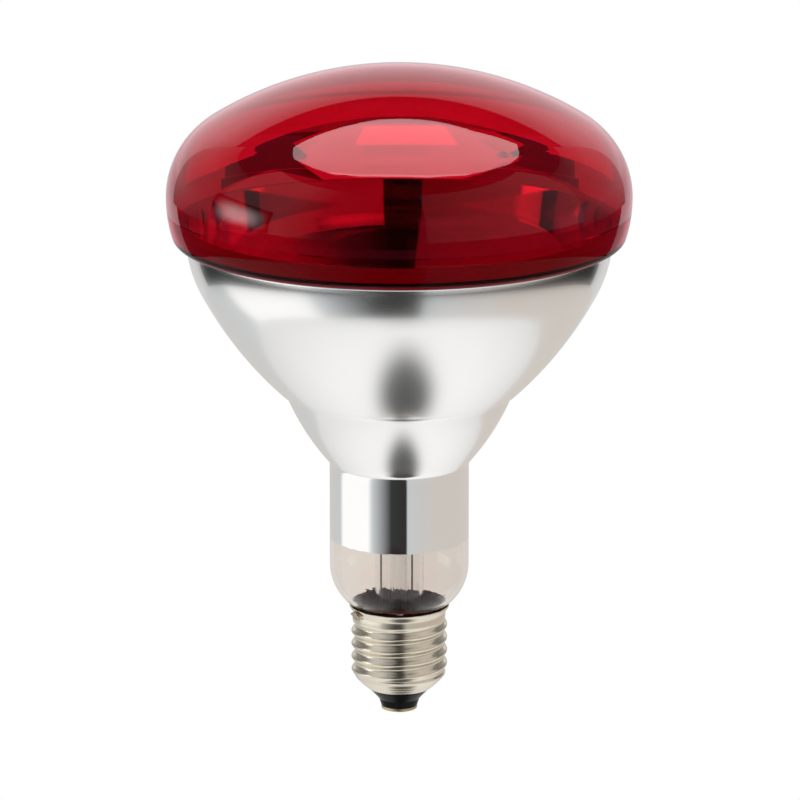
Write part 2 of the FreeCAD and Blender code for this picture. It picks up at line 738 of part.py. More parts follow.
def cement():
    # fills the ring between the glass throat and the shell, with a channel for the side lead
    top = size("cap_rim_height") - size("cement_top_gap")
    low = size("seal_height")
    tube = size("throat_radius")
    edges = throatEdgesBelow(top)
    throatFoot = edges[-1]["end"] if edges else (tube, top)
    start = edges[0]["start"] if edges else throatFoot
    flare = size("cap_rim_height") - size("cap_flare_height")
    outerLow = shellInnerRadius(low) - size("seat_clearance")
    outline = [throatFoot, (tube, low), (outerLow, low)]
    outline.append((outerLow, size("thread_top_height") - size("thread_fade")))
    for height in (flare, (flare + top) / 2, top):
        outline.append((shellInnerRadius(height) - size("cement_gap"), height))
    outline.append(start)
    sealed = len(edges)
    edges += [lineTo(here, there) for here, there in zip(outline, outline[1:])]
    edges[sealed]["y"] = cell("seal_height")
    ring = turnedPiece("cement_ring", edges)
    lead = bentPath(shellLeadPoints(), size("outer_bend_radius"))
    channel = wireFeature("lead_channel", roundSweep(lead, size("outer_lead_radius") + size("seat_clearance")))
    cut = doc.addObject("Part::Cut", "capping_cement")
    cut.Label = "capping_cement"
    cut.Base = ring
    cut.Tool = channel
    return cut


def insulator():
    gap = size("seat_clearance")
    head, waist = size("insulator_head_height"), size("insulator_waist_height")
    shellFoot = size("shell_foot_height")
    hole = size("contact_hole_radius")
    headAcross = shellInnerRadius(head) - gap
    footAcross = size("shell_foot_radius") - size("shell_thickness") - gap
    foot, low = size("insulator_foot_radius"), size("insulator_foot_height")
    seat = size("contact_thickness")
    return turnedPiece("cap_insulator", polygonEdges([
        (hole, seat, None, cell("contact_thickness")),
        (size("contact_radius"), seat, cell("contact_radius"), None),
        (foot, low, cell("insulator_foot_radius"), cell("insulator_foot_height")),
        (size("insulator_waist_radius"), waist, cell("insulator_waist_radius"), cell("insulator_waist_height")),
        (footAcross, shellFoot, f"{cell('shell_foot_radius')} - {cell('shell_thickness')}"
                                f" - {cell('seat_clearance')}", cell("shell_foot_height")),
        (headAcross, head, None, cell("insulator_head_height")),
        (hole, head, cell("contact_hole_radius"), None),
    ]))


def centreContact():
    thick, edge = size("contact_thickness"), size("contact_edge_radius")
    across, hole = size("contact_radius"), size("contact_hole_radius")
    centre = (across - edge, edge)
    return turnedPiece("centre_contact", [
        lineTo((hole, 0), (across - edge, 0)),
        arcEdge(centre, edge, -quarter, 0, cell("contact_edge_radius")),
        lineTo((across, edge), (across, thick), cell("contact_radius"), cell("contact_thickness")),
        lineTo((across, thick), (hole, thick), cell("contact_hole_radius"), None),
        lineTo((hole, thick), (hole, 0)),
    ])


def contactSolder():
    hole, thick = size("contact_hole_radius"), size("contact_thickness")
    return turnedPiece("contact_solder", polygonEdges([
        (0, 0, None, None),
        (hole, 0, None, None),
        (hole, thick, cell("contact_hole_radius"), cell("contact_thickness")),
        (0, thick, None, None),
    ]))


def sideSolder(shell, lead, ring, bulb):
    # a blob over the rim that holds the end of the side lead
    ball = doc.addObject("Part::Sphere", "solder_ball")
    ball.setExpression("Radius", cell("solder_blob_radius"))
    spot = sideExit(size("cap_rim_radius") + size("solder_blob_offset"),
                    size("cap_rim_height") - size("solder_blob_drop"))
    ball.Placement = FreeCAD.Placement(FreeCAD.Vector(*spot), FreeCAD.Rotation())
    around = doc.addObject("Part::MultiFuse", "solder_surroundings")
    around.Shapes = [shell, lead, ring, bulb]
    blob = doc.addObject("Part::Cut", "side_solder")
    blob.Label = "side_solder"
    blob.Base = ball
    blob.Tool = around
    return blob


os.makedirs("parts", exist_ok=True)
bulb, shell, lead, ring = glassBulb(), capShell(), shellLead(), cement()
pieces = [bulb, redCoating(), mirrorCoating(), stemFlare(), exhaustTube(), supportRod()]
pieces += [innerLead("lead_left", -1), innerLead("lead_right", 1), filament()]
pieces += [supportWire(number + 1) for number in range(int(size("support_count")))]
pieces += [lead, contactLead(), shell, ring, insulator(), centreContact(), contactSolder()]
pieces += [sideSolder(shell, lead, ring, bulb)]
doc.recompute()
for item in doc.Objects:
    if "Invalid" in item.State or "Error" in item.State:
        raise RuntimeError(f"{item.Label} failed: {item.State}")
for piece in pieces:
    if piece.Shape.isNull() or not piece.Shape.isValid() or len(piece.Shape.Solids) != 1:
        raise RuntimeError(f"{piece.Label} has no sound solid")
for piece in pieces:
    piece.Shape.exportStep(f"parts/{piece.Label}.step")
print(len(pieces), "pieces written")
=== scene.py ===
import math

import bmesh
import bpy
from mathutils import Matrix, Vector, noise


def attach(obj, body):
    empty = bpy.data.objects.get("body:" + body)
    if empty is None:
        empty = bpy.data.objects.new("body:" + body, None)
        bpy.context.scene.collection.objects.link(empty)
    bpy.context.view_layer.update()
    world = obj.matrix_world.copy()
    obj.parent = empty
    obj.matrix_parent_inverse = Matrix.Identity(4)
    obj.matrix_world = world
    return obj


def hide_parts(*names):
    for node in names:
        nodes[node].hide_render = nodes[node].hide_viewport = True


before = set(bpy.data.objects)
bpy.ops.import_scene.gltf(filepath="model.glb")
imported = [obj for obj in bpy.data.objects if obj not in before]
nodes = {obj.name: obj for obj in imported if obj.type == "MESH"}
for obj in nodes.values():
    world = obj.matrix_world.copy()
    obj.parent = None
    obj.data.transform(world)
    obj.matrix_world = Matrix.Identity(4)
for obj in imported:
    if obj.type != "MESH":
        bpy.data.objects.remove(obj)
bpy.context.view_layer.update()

mm = 0.001
print("frame loaded with", len(nodes), "nodes")


# The picture: a long lens aimed at the lamp's middle, looking down a little

view = {
    "pitch": 14.5,          # degrees below level
    "distance": 1616 * mm,  # from the aim point
    "aimHeight": 87 * mm,
    "aimAcross": 0.2 * mm,
    "focalPixels": 5971,    # for a picture 800 pixels wide
    "pictureWidth": 800,
    "sensor": 36.0,
    "nearClip": 0.05, "farClip": 60,
}


def addObject(name, data):
    item = bpy.data.objects.new(name, data)
    bpy.context.scene.collection.objects.link(item)
    return item


def makeCamera():
    data = bpy.data.cameras.new("camera")
    data.sensor_width = view["sensor"]
    data.lens = view["focalPixels"] / view["pictureWidth"] * view["sensor"]
    data.clip_start = view["nearClip"]
    data.clip_end = view["farClip"]
    camera = addObject("camera", data)
    pitch = math.radians(view["pitch"])
    camera.location = (view["aimAcross"], -view["distance"] * math.cos(pitch),
                       view["aimHeight"] + view["distance"] * math.sin(pitch))
    camera.rotation_euler = (math.pi / 2 - pitch, 0, 0)
    bpy.context.scene.camera = camera


makeCamera()
print("camera placed")


# Node helpers: materials are plain node trees, and shared effects are groups

def newMaterial(name):
    material = bpy.data.materials.new(name)
    material.use_nodes = True
    tree = material.node_tree
    shader = next(n for n in tree.nodes if n.type == "BSDF_PRINCIPLED")
    return material, tree, shader


def addNode(tree, kind, **settings):
    node = tree.nodes.new(kind)
    for key, value in settings.items():
        setattr(node, key, value)
    return node


def setInputs(node, **values):
    for key, value in values.items():
        node.inputs[key.replace("_", " ")].default_value = value


def setShader(shader, values):
    for key, value in values.items():
        shader.inputs[key].default_value = value


def mathNode(tree, operation, *values):
    node = addNode(tree, "ShaderNodeMath", operation=operation)
    for slot, value in zip(node.inputs, values):
        if isinstance(value, (int, float)):
            slot.default_value = value
        else:
            tree.links.new(value, slot)
    return node.outputs[0]


def smoothMask(tree, value, low, high, atLow=0.0, atHigh=1.0):
    node = addNode(tree, "ShaderNodeMapRange", interpolation_type="SMOOTHSTEP")
    tree.links.new(value, node.inputs["Value"])
    for name, number in (("From Min", low), ("From Max", high), ("To Min", atLow), ("To Max", atHigh)):
        node.inputs[name].default_value = number
    return node.outputs["Result"]


def coordinates(tree, kind):
    # one of a surface's coordinates, whole and split into its parts
    place = addNode(tree, "ShaderNodeTexCoord").outputs[kind]
    split = addNode(tree, "ShaderNodeSeparateXYZ")
    tree.links.new(place, split.inputs[0])
    return place, split.outputs


def distanceTo(tree, place, spot):
    # how far a surface point lies from a spot that is given in millimetres
    gap = addNode(tree, "ShaderNodeVectorMath", operation="DISTANCE")
    tree.links.new(place, gap.inputs[0])
    gap.inputs[1].default_value = [value * mm for value in spot]
    return gap.outputs["Value"]


def mixInColour(tree, shader, colour, overlay, share):
    # the colour turns into a second colour where the share is high: a pink spot on the film, and painted
    # shade in the cap's punch pits
    mix = addNode(tree, "ShaderNodeMix", data_type="RGBA")
    tree.links.new(share, mix.inputs["Factor"])
    tree.links.new(colour, mix.inputs["A"])
    mix.inputs["B"].default_value = overlay
    tree.links.new(mix.outputs["Result"], shader.inputs["Base Color"])


def addRelief(tree, shader, height, strength, depth):
    relief = addNode(tree, "ShaderNodeBump")
    relief.inputs["Strength"].default_value = strength
    relief.inputs["Distance"].default_value = depth
    tree.links.new(height, relief.inputs["Height"])
    tree.links.new(relief.outputs["Normal"], shader.inputs["Normal"])


def makeSurfaceGroup():
    # object-space cloud noise that shifts a colour, a roughness and a height a little
    group = bpy.data.node_groups.new("surfaceLife", "ShaderNodeTree")
    sockets = [("Scale", "NodeSocketFloat", 60.0), ("Detail", "NodeSocketFloat", 4.0),
               ("Base", "NodeSocketColor", (0.5, 0.5, 0.5, 1)),
               ("Shade", "NodeSocketColor", (0.4, 0.4, 0.4, 1)), ("Amount", "NodeSocketFloat", 0.3),
               ("Roughness Low", "NodeSocketFloat", 0.2), ("Roughness High", "NodeSocketFloat", 0.3)]
    for name, kind, value in sockets:
        group.interface.new_socket(name, in_out="INPUT", socket_type=kind).default_value = value
    results = [("Color", "NodeSocketColor"), ("Roughness", "NodeSocketFloat"),
               ("Height", "NodeSocketFloat")]
    for name, kind in results:
        group.interface.new_socket(name, in_out="OUTPUT", socket_type=kind)
    source = addNode(group, "NodeGroupInput")
    sink = addNode(group, "NodeGroupOutput")
    place = addNode(group, "ShaderNodeTexCoord")
    cloud = addNode(group, "ShaderNodeTexNoise")
    strength = addNode(group, "ShaderNodeMath", operation="MULTIPLY")
    mix = addNode(group, "ShaderNodeMix", data_type="RGBA")
    rough = addNode(group, "ShaderNodeMapRange")
    link = group.links.new
    link(place.outputs["Object"], cloud.inputs["Vector"])
    link(source.outputs["Scale"], cloud.inputs["Scale"])
    link(source.outputs["Detail"], cloud.inputs["Detail"])
    link(cloud.outputs["Fac"], strength.inputs[0])
    link(source.outputs["Amount"], strength.inputs[1])
    link(strength.outputs[0], mix.inputs["Factor"])
    link(source.outputs["Base"], mix.inputs["A"])
    link(source.outputs["Shade"], mix.inputs["B"])
    link(cloud.outputs["Fac"], rough.inputs["Value"])
    link(source.outputs["Roughness Low"], rough.inputs["To Min"])
    link(source.outputs["Roughness High"], rough.inputs["To Max"])
    link(mix.outputs["Result"], sink.inputs["Color"])
    link(rough.outputs["Result"], sink.inputs["Roughness"])
    link(cloud.outputs["Fac"], sink.inputs["Height"])
    return group


surfaceLife = makeSurfaceGroup()
grainDepth = 0.2 * mm  # of the cloud noise where a finish's bump is 1


def addLife(tree, shader, bump=0.0, **values):
    life = addNode(tree, "ShaderNodeGroup", node_tree=surfaceLife)
    setInputs(life, **values)
    tree.links.new(life.outputs["Color"], shader.inputs["Base Color"])
    tree.links.new(life.outputs["Roughness"], shader.inputs["Roughness"])
    if bump:
        addRelief(tree, shader, life.outputs["Height"], bump, grainDepth)
    return life


def rubyGlass(name="rubyGlass", bend=1.5):
    material, tree, shader = newMaterial(name)
    setShader(shader, {"Transmission Weight": 1.0, "IOR": bend, "Metallic": 0.0})
    addLife(tree, shader, Scale=35.0, Base=(0.7, 0.035, 0.098, 1), Shade=(0.6, 0.025, 0.08, 1),
            Amount=0.6, Roughness_Low=0.0, Roughness_High=0.01)
    return material


def pooledRed():
    material, tree, shader = newMaterial("pooledRed")
    setShader(shader, {"Specular IOR Level": 0.07})
    addLife(tree, shader, Scale=70.0, Base=(0.24, 0.005, 0.014, 1), Shade=(0.1, 0.001, 0.005, 1),
            Amount=0.9, Roughness_Low=0.12, Roughness_High=0.25)
    return material


# the reflector film, in millimetres: a faint pink spot at the front of its lower edge, and its smoother
# neck
filmPinkSpot = {"place": (-1.2, -18.9, 48.9), "reach": 3.4, "share": 0.75, "colour": (0.85, 0.3, 0.34, 1)}
filmSheen = {"neckTop": 68, "bowlFoot": 74, "neckShare": 0.3}


def satinSilver():
    # the reflector film seen through the glass wall, satin on the bowl and smoother on the neck
    material, tree, shader = newMaterial("satinSilver")
    setShader(shader, {"Metallic": 1.0, "Coat Weight": 1.0, "Coat Roughness": 0.02, "Coat IOR": 1.5})
    life = addLife(tree, shader, Scale=28.0, Base=(0.93, 0.92, 0.9, 1), Shade=(0.86, 0.86, 0.86, 1),
                   Amount=0.5, Roughness_Low=0.2, Roughness_High=0.25)
    place, parts = coordinates(tree, "Object")
    share = smoothMask(tree, parts[2], filmSheen["neckTop"] * mm, filmSheen["bowlFoot"] * mm,
                       filmSheen["neckShare"], 1.0)
    tree.links.new(mathNode(tree, "MULTIPLY", life.outputs["Roughness"], share), shader.inputs["Roughness"])
    near = distanceTo(tree, place, filmPinkSpot["place"])
    overlay = smoothMask(tree, near, 0, filmPinkSpot["reach"] * mm, filmPinkSpot["share"], 0.0)
    mixInColour(tree, shader, life.outputs["Color"], filmPinkSpot["colour"], overlay)
    return material


def innerMirror():
    material, tree, shader = newMaterial("innerMirror")
    setShader(shader, {"Metallic": 1.0})
    addLife(tree, shader, Scale=40.0, Base=(0.92, 0.91, 0.9, 1), Shade=(0.85, 0.84, 0.83, 1),
            Amount=0.5, Roughness_Low=0.03, Roughness_High=0.06)
    return material


def clearGlass(name="clearGlass", tint=(0.97, 0.955, 0.94, 1), bend=1.32):
    material, tree, shader = newMaterial(name)
    setShader(shader, {"Transmission Weight": 1.0, "IOR": bend, "Metallic": 0.0})
    shade = (tint[0] * 0.97, tint[1] * 0.96, tint[2] * 0.95, 1)  # a little darker and warmer
    addLife(tree, shader, Scale=50.0, Base=tint, Shade=shade, Amount=0.5,
            Roughness_Low=0.0, Roughness_High=0.02)
    return material


# marks on the cap shell, in millimetres: two punch marks, darkened in colour with painted shade, and the
# turning rings of the foot
capMarks = {
    "punches": (((-5.2, -11.9, 24.6), 0.75), ((-11.6, -5.8, 20.9), 0.95)),  # place and radius
    "punchFloor": 0.35, "pitShadeShare": 0.7, "pitShadeColour": (0.05, 0.035, 0.025, 1),
    "ringPitch": 0.85, "ringTop": 13.5, "ringFade": 3.0, "ringShare": 0.12, "grainShare": 0.12,
    "reliefStrength": 0.6, "reliefDepth": 0.35,
}


def platedShell():
    material, tree, shader = newMaterial("platedShell")
    setShader(shader, {"Metallic": 1.0})
    life = addLife(tree, shader, Scale=160.0, Base=(0.86, 0.8, 0.68, 1), Shade=(0.62, 0.55, 0.44, 1),
                   Amount=0.8, Roughness_Low=0.16, Roughness_High=0.32)
    place, parts = coordinates(tree, "Object")
    turns = mathNode(tree, "MULTIPLY", parts[2], 2 * math.pi / (capMarks["ringPitch"] * mm))
    top = capMarks["ringTop"] * mm
    low = smoothMask(tree, parts[2], top - capMarks["ringFade"] * mm, top, capMarks["ringShare"], 0.0)
    height = mathNode(tree, "MULTIPLY", mathNode(tree, "SINE", turns), low)
    grain = mathNode(tree, "MULTIPLY", life.outputs["Height"], capMarks["grainShare"])
    height = mathNode(tree, "ADD", height, grain)
    # the punch pits are darkened in colour as well as dented: painted shade
    overlay = None
    for spot, radius in capMarks["punches"]:
        near = distanceTo(tree, place, spot)
        pit = smoothMask(tree, near, capMarks["punchFloor"] * radius * mm, radius * mm, 1.0, 0.0)
        height = mathNode(tree, "SUBTRACT", height, pit)
        overlay = pit if overlay is None else mathNode(tree, "MAXIMUM", overlay, pit)
    addRelief(tree, shader, height, capMarks["reliefStrength"], capMarks["reliefDepth"] * mm)
    share = mathNode(tree, "MULTIPLY", overlay, capMarks["pitShadeShare"])
    mixInColour(tree, shader, life.outputs["Color"], capMarks["pitShadeColour"], share)
    return material


def filmBack():
    # the back of the film where the thick rolled edge of the red layer hides most of it
    material, tree, shader = newMaterial("filmBack")
    setShader(shader, {"Metallic": 1.0})
    addLife(tree, shader, Scale=60.0, Base=(0.45, 0.25, 0.25, 1), Shade=(0.2, 0.1, 0.1, 1),
            Amount=0.7, Roughness_Low=0.25, Roughness_High=0.4)
    return material


def cementedGlass():
    material, tree, shader = newMaterial("cementedGlass")
    setShader(shader, {"Coat Weight": 0.02, "Coat Roughness": 0.05, "Specular IOR Level": 0.06})
    addLife(tree, shader, Scale=330.0, Detail=7.0, Base=(0.1, 0.055, 0.032, 1),
            Shade=(0.035, 0.018, 0.01, 1), Amount=1.1, Roughness_Low=0.4, Roughness_High=0.7)
    return material


def plainMetal(name, base, shade, low, high):
    material, tree, shader = newMaterial(name)
    setShader(shader, {"Metallic": 1.0})
    addLife(tree, shader, bump=0.1, Scale=300.0, Base=base, Shade=shade, Amount=0.8,
            Roughness_Low=low, Roughness_High=high)
    return material


def bakedCement():
    material, tree, shader = newMaterial("bakedCement")
    addLife(tree, shader, bump=0.8, Scale=420.0, Detail=8.0, Base=(0.1, 0.05, 0.03, 1),
            Shade=(0.025, 0.014, 0.01, 1), Amount=1.0, Roughness_Low=0.45, Roughness_High=0.8)
    return material


def blackGlass():
    material, tree, shader = newMaterial("blackGlass")
    setShader(shader, {"Coat Weight": 0.02, "Coat Roughness": 0.05, "Specular IOR Level": 0.05})
    addLife(tree, shader, bump=0.05, Scale=120.0, Base=(0.006, 0.006, 0.007, 1),
            Shade=(0.014, 0.013, 0.014, 1), Amount=0.6, Roughness_Low=0.12, Roughness_High=0.25)
    return material


# Turned pieces: a closed outline of (radius, height) points swept once round

def spinOutline(name, outline, segments, materials, faceMaterial=None, uneven=None):
    area = sum(a[0] * b[1] - b[0] * a[1] for a, b in zip(outline, outline[1:] + outline[:1]))
    if area > 0:
        outline = outline[::-1]
    tiny = 1e-7
    vertices, rings = [], []
    for radius, height in outline:
        if radius < tiny:
            rings.append([len(vertices)] * segments)
            vertices.append((0, 0, height))
            continue
        rings.append(list(range(len(vertices), len(vertices) + segments)))
        for step in range(segments):
            turn = 2 * math.pi * step / segments
            reach, level = uneven(radius, height, turn) if uneven else (radius, height)
            vertices.append((reach * math.cos(turn), reach * math.sin(turn), level))
    faces, marks = [], []
    count = len(outline)
    for i in range(count):
        here, there = rings[i], rings[(i + 1) % count]
        if here[0] == here[1] and there[0] == there[1]:
            continue
        mark = faceMaterial(outline[i], outline[(i + 1) % count]) if faceMaterial else 0
        for j in range(segments):
            k = (j + 1) % segments
            corners = []
            for corner in (here[j], there[j], there[k], here[k]):
                if corner not in corners:
                    corners.append(corner)
            faces.append(corners)
            marks.append(mark)
    mesh = bpy.data.meshes.new(name)
    mesh.from_pydata(vertices, [], faces)
    for material in materials:
        mesh.materials.append(material)
    mesh.polygons.foreach_set("material_index", marks)
    mesh.polygons.foreach_set("use_smooth", [True] * len(faces))
    mesh.update()
    return addObject(name, mesh)


def roundNoise(turn, scale, seed):
    # smooth noise of about -0.5 to 0.5 that closes on itself after a full turn
    return noise.noise(Vector((scale * math.cos(turn), scale * math.sin(turn), seed)))


def waves(turn, parts):
    # round noises added up, each given as its share, its scale and its seed
    return sum(share * roundNoise(turn, scale, seed) for share, scale, seed in parts)


def sharpen(piece, degrees=35):
    # keeps the shading crisp where two faces meet at a real corner
    shape = bmesh.new()
    shape.from_mesh(piece.data)
    limit = math.radians(degrees)
    for edge in shape.edges:
        if len(edge.link_faces) == 2 and edge.calc_face_angle(0) > limit:
            edge.smooth = False
    shape.to_mesh(piece.data)
    shape.free()
    return piece


# The glass line, in millimetres: tangent arcs from the crown to the throat

bulb = {
    "length": 178.1, "diameter": 125.0, "crown": 97.5, "shoulder": 23.3, "side": 36.4,
    "lipHeight": 131.6, "lipEdge": 2.4, "lipRoot": 1.0,
    "mouthRadius": 57.4, "mouthHeight": 133.5, "bowlUpper": 33.1, "bowlTurn": 27.4, "bowlLower": 103.4,
    "ledgeRadius": 32.3, "ledgeEdge": 1.6, "ledgeSlope": 11.5, "ledgeRoot": 1.3,
    "funnelSlope": 67.6, "funnel": 67.3, "neckRadius": 18.9, "neckRoot": 2.4,
    "neckFoot": 41.4, "throatShoulder": 14.2, "throatRoot": 4.8, "throatRadius": 10.6, "seal": 20.0,
    "wall": 1.0, "film": 0.12, "pooledEdge": 1.5, "dullEdge": 9.2,  # both edges above the lip
    "mirrorEdge": 49.0, "mirrorEdgeWander": 0.5, "mirrorEdgeWaves": ((1.0, 2.2, 3.1), (0.6, 9.0, 7.7)),
    "liningTop": 137.4, "liningGap": 0.02, "liningInner": (57.15, 137.0), "liningJoin": 128.8,
    "segments": 160, "arcStep": 1.1, "leastSteps": 4, "neckSteps": 12, "liningSteps": 8,
}
sameSpot = 1e-5    # millimetres: points nearer than this are one
sameHeight = 1e-4  # millimetres: heights nearer than this are one


def polar(centre, radius, angle):
    return centre[0] + radius * math.cos(angle), centre[1] + radius * math.sin(angle)


def glassLine():
    # each arc is name, centre, radius, first angle, last angle, and 1 where it swells outwards
    b = bulb
    crownCentre = (0, b["length"] - b["crown"])
    shoulderAcross = b["diameter"] / 2 - b["shoulder"]
    widest = crownCentre[1] + math.sqrt((b["crown"] - b["shoulder"]) ** 2 - shoulderAcross ** 2)
    crownEnd = math.atan2(widest - crownCentre[1], shoulderAcross)
    sideCentre = (b["diameter"] / 2 - b["side"], widest)
    lipReach = b["side"] - b["lipEdge"]
    sideEnd = -math.asin((widest - b["lipHeight"] - b["lipEdge"]) / lipReach)
    lipCentre = (sideCentre[0] + lipReach * math.cos(sideEnd), b["lipHeight"] + b["lipEdge"])
    bowlCentre = (b["mouthRadius"] - b["bowlUpper"], b["mouthHeight"])
    rootReach = b["bowlUpper"] + b["lipRoot"]
    bowlStart = -math.asin((b["mouthHeight"] - b["lipHeight"] + b["lipRoot"]) / rootReach)
    bowlBreak = -math.radians(b["bowlTurn"])
    lowerCentre = polar(bowlCentre, b["bowlUpper"] - b["bowlLower"], bowlBreak)
    bowlEnd = -math.acos((b["ledgeRadius"] - lowerCentre[0]) / b["bowlLower"])
    edgeCentre = polar(lowerCentre, b["bowlLower"] - b["ledgeEdge"], bowlEnd)
    ledgeTurn = math.radians(b["ledgeSlope"]) - math.pi / 2
    ledgeRootCentre = polar(edgeCentre, b["ledgeEdge"] + b["ledgeRoot"], ledgeTurn)
    funnelTurn = math.radians(b["funnelSlope"]) - math.pi / 2
    funnelCentre = polar(ledgeRootCentre, -b["ledgeRoot"] - b["funnel"], funnelTurn)
    neckAcross = b["neckRadius"] + b["neckRoot"]
    funnelEnd = -math.acos((neckAcross - funnelCentre[0]) / (b["funnel"] + b["neckRoot"]))
    throatCentre = (b["neckRadius"] - b["throatShoulder"], b["neckFoot"])
    throatReach = b["throatShoulder"] + b["throatRoot"]
    throatEnd = -math.acos((b["throatRadius"] + b["throatRoot"] - throatCentre[0]) / throatReach)
    halfTurn = math.pi
    return [
        ("crown", crownCentre, b["crown"], halfTurn / 2, crownEnd, 1),
        ("shoulder", (shoulderAcross, widest), b["shoulder"], crownEnd, 0, 1),
        ("side", sideCentre, b["side"], 0, sideEnd, 1),
        ("lipEdge", lipCentre, b["lipEdge"], sideEnd, -halfTurn / 2, 1),
        ("lipRoot", polar(bowlCentre, rootReach, bowlStart), b["lipRoot"],
         halfTurn / 2, halfTurn + bowlStart, -1),
        ("bowlUpper", bowlCentre, b["bowlUpper"], bowlStart, bowlBreak, 1),
        ("bowlLower", lowerCentre, b["bowlLower"], bowlBreak, bowlEnd, 1),
        ("ledgeEdge", edgeCentre, b["ledgeEdge"], bowlEnd, ledgeTurn, 1),
        ("ledgeRoot", ledgeRootCentre, b["ledgeRoot"], halfTurn + ledgeTurn, halfTurn + funnelTurn, -1),
        ("funnel", funnelCentre, b["funnel"], funnelTurn, funnelEnd, 1),
        ("neckRoot", polar(funnelCentre, b["funnel"] + b["neckRoot"], funnelEnd), b["neckRoot"],
         halfTurn + funnelEnd, halfTurn, -1),
        ("throatShoulder", throatCentre, b["throatShoulder"], 0, throatEnd, 1),
        ("throatRoot", polar(throatCentre, throatReach, throatEnd), b["throatRoot"],
         halfTurn + throatEnd, halfTurn, -1),
    ]


arcs = glassLine()
arcNames = [arc[0] for arc in arcs]


def stretch(first, last, depth=0.0):
    # points along the glass line from one arc to another, moved inwards by depth
    points = []
    least = bulb["leastSteps"]  # per arc and per radian
    for _, centre, radius, start, end, bulge in arcs[arcNames.index(first):arcNames.index(last) + 1]:
        turned = abs(end - start)
        steps = max(least, math.ceil(turned * least), math.ceil(turned * radius / bulb["arcStep"]))
        for step in range(steps + 1):
            point = polar(centre, radius - bulge * depth, start + (end - start) * step / steps)
            if not points or math.dist(points[-1], point) > sameSpot:
                points.append((max(0.0, point[0]), point[1]))
    return points


def inMetres(points):
    return [(radius * mm, height * mm) for radius, height in points]


def straight(start, end, steps):
    return [(start[0] + (end[0] - start[0]) * i / steps, start[1] + (end[1] - start[1]) * i / steps)
            for i in range(steps + 1)]


def makeRubyFront():
    # the red layer has pooled along its lower edge, where it is too thick to see through
    film = bulb["film"]
    outer = stretch("crown", "lipEdge", -film)
    inner = stretch("crown", "lipEdge", bulb["wall"])
    pooled, dull = (bulb["lipHeight"] + bulb[name] for name in ("pooledEdge", "dullEdge"))

    def thick(here, there):
        # 2 where it has pooled, 1 where it mirrors little, 0 above
        height = max(here[1], there[1]) / mm
        return 2 if height < pooled else 1 if height < dull else 0

    piece = spinOutline("rubyFront", inMetres(outer + inner[::-1]), bulb["segments"],
                        [rubyGlass(), rubyGlass("rubyGlassDull", bend=1.15), pooledRed()], thick)
    return sharpen(piece)


def wanderingEdge(radius, height, turn):
    # the film's lower edge on the neck is not quite level
    if abs(height / mm - bulb["mirrorEdge"]) < sameHeight:
        height += bulb["mirrorEdgeWander"] * mm * waves(turn, bulb["mirrorEdgeWaves"])
    return radius, height


def makeMirroredBowl():
    # the film on the bowl and the neck, with its lining inside the lip, behind the red front
    liningDepth = bulb["wall"] + bulb["liningGap"]
    lining = [p for p in stretch("side", "lipEdge", liningDepth) if p[1] < bulb["liningTop"]]
    outer = stretch("lipRoot", "neckRoot")
    outer = outer + straight(outer[-1], (bulb["neckRadius"], bulb["mirrorEdge"]), bulb["neckSteps"])[1:]
    depth = bulb["wall"] + bulb["film"]
    inner = [p for p in stretch("bowlUpper", "neckRoot", depth) if p[1] < bulb["liningJoin"]]
    inner = straight(bulb["liningInner"], inner[0], bulb["liningSteps"])[:-1] + inner
    foot = (bulb["neckRadius"] - depth, bulb["mirrorEdge"])
    inner = inner + straight(inner[-1], foot, bulb["neckSteps"])[1:]

    def key(radius, height):
        return round(radius, 6), round(height, 6)

    outerKeys, liningKeys = ({key(*point) for point in points} for points in (outer, lining))

    def side(here, there):
        # 0 on the glass, 1 inside, 2 on the lining
        both = [key(p[0] / mm, p[1] / mm) for p in (here, there)]
        if all(spot in outerKeys for spot in both):
            return 0
        return 2 if any(spot in liningKeys for spot in both) else 1

    piece = spinOutline("mirroredBowl", inMetres(lining + outer + inner[::-1]), bulb["segments"],
                        [satinSilver(), innerMirror(), filmBack()], side, wanderingEdge)
    return sharpen(piece)


def makeGlassNeck():
    # the clear foot of the neck; below an uneven line the glass has cement behind it
    wall = bulb["wall"]
    foot = (bulb["throatRadius"], bulb["seal"])
    top = (bulb["neckRadius"], bulb["mirrorEdge"])
    outer = [top] + stretch("throatShoulder", "throatRoot") + [foot]
    innerTop = (top[0] - wall, top[1])
    inner = [innerTop] + stretch("throatShoulder", "throatRoot", wall) + [(foot[0] - wall, foot[1])]
    line = [min((abs(z - cement["line"]), z) for _, z in points)[1] for points in (outer, inner)]

    def uneven(radius, height, turn):
        if any(abs(height / mm - z) < sameHeight for z in line):
            height += cement["lineWander"] * mm * waves(turn, cement["lineWaves"])
        return wanderingEdge(radius, height, turn)

    def cemented(here, there):
        return 1 if max(here[1], there[1]) / mm < max(line) + sameHeight else 0

    piece = spinOutline("glassNeck", inMetres(outer + inner[::-1]), bulb["segments"],
                        [clearGlass(), cementedGlass()], cemented, uneven)
    return sharpen(piece)


cement = {
    "line": 29.9, "lineWander": 1.6, "lineWaves": ((1.0, 1.6, 5.2), (0.5, 7.0, 1.4)),
    "low": 20.0,
    "outer": ((11.65, 20.0), (11.65, 24.0), (12.1, 27.4), (12.85, 28.7)),  # inside the shell
    "top": ((12.6, 28.95), (12.2, 29.35), (11.8, 29.75)),                  # rising to the glass
    "glassTop": 30.1,   # the cement lies on the glass up to here
    "lumpyFrom": 28.8,  # and is uneven above here; the seeds of its waves are per millimetre of radius
    "topWander": 0.54, "topWaves": ((1.0, 3.0, 1.0), (0.6, 12.0, 2.0)),
    "segments": 180,
}


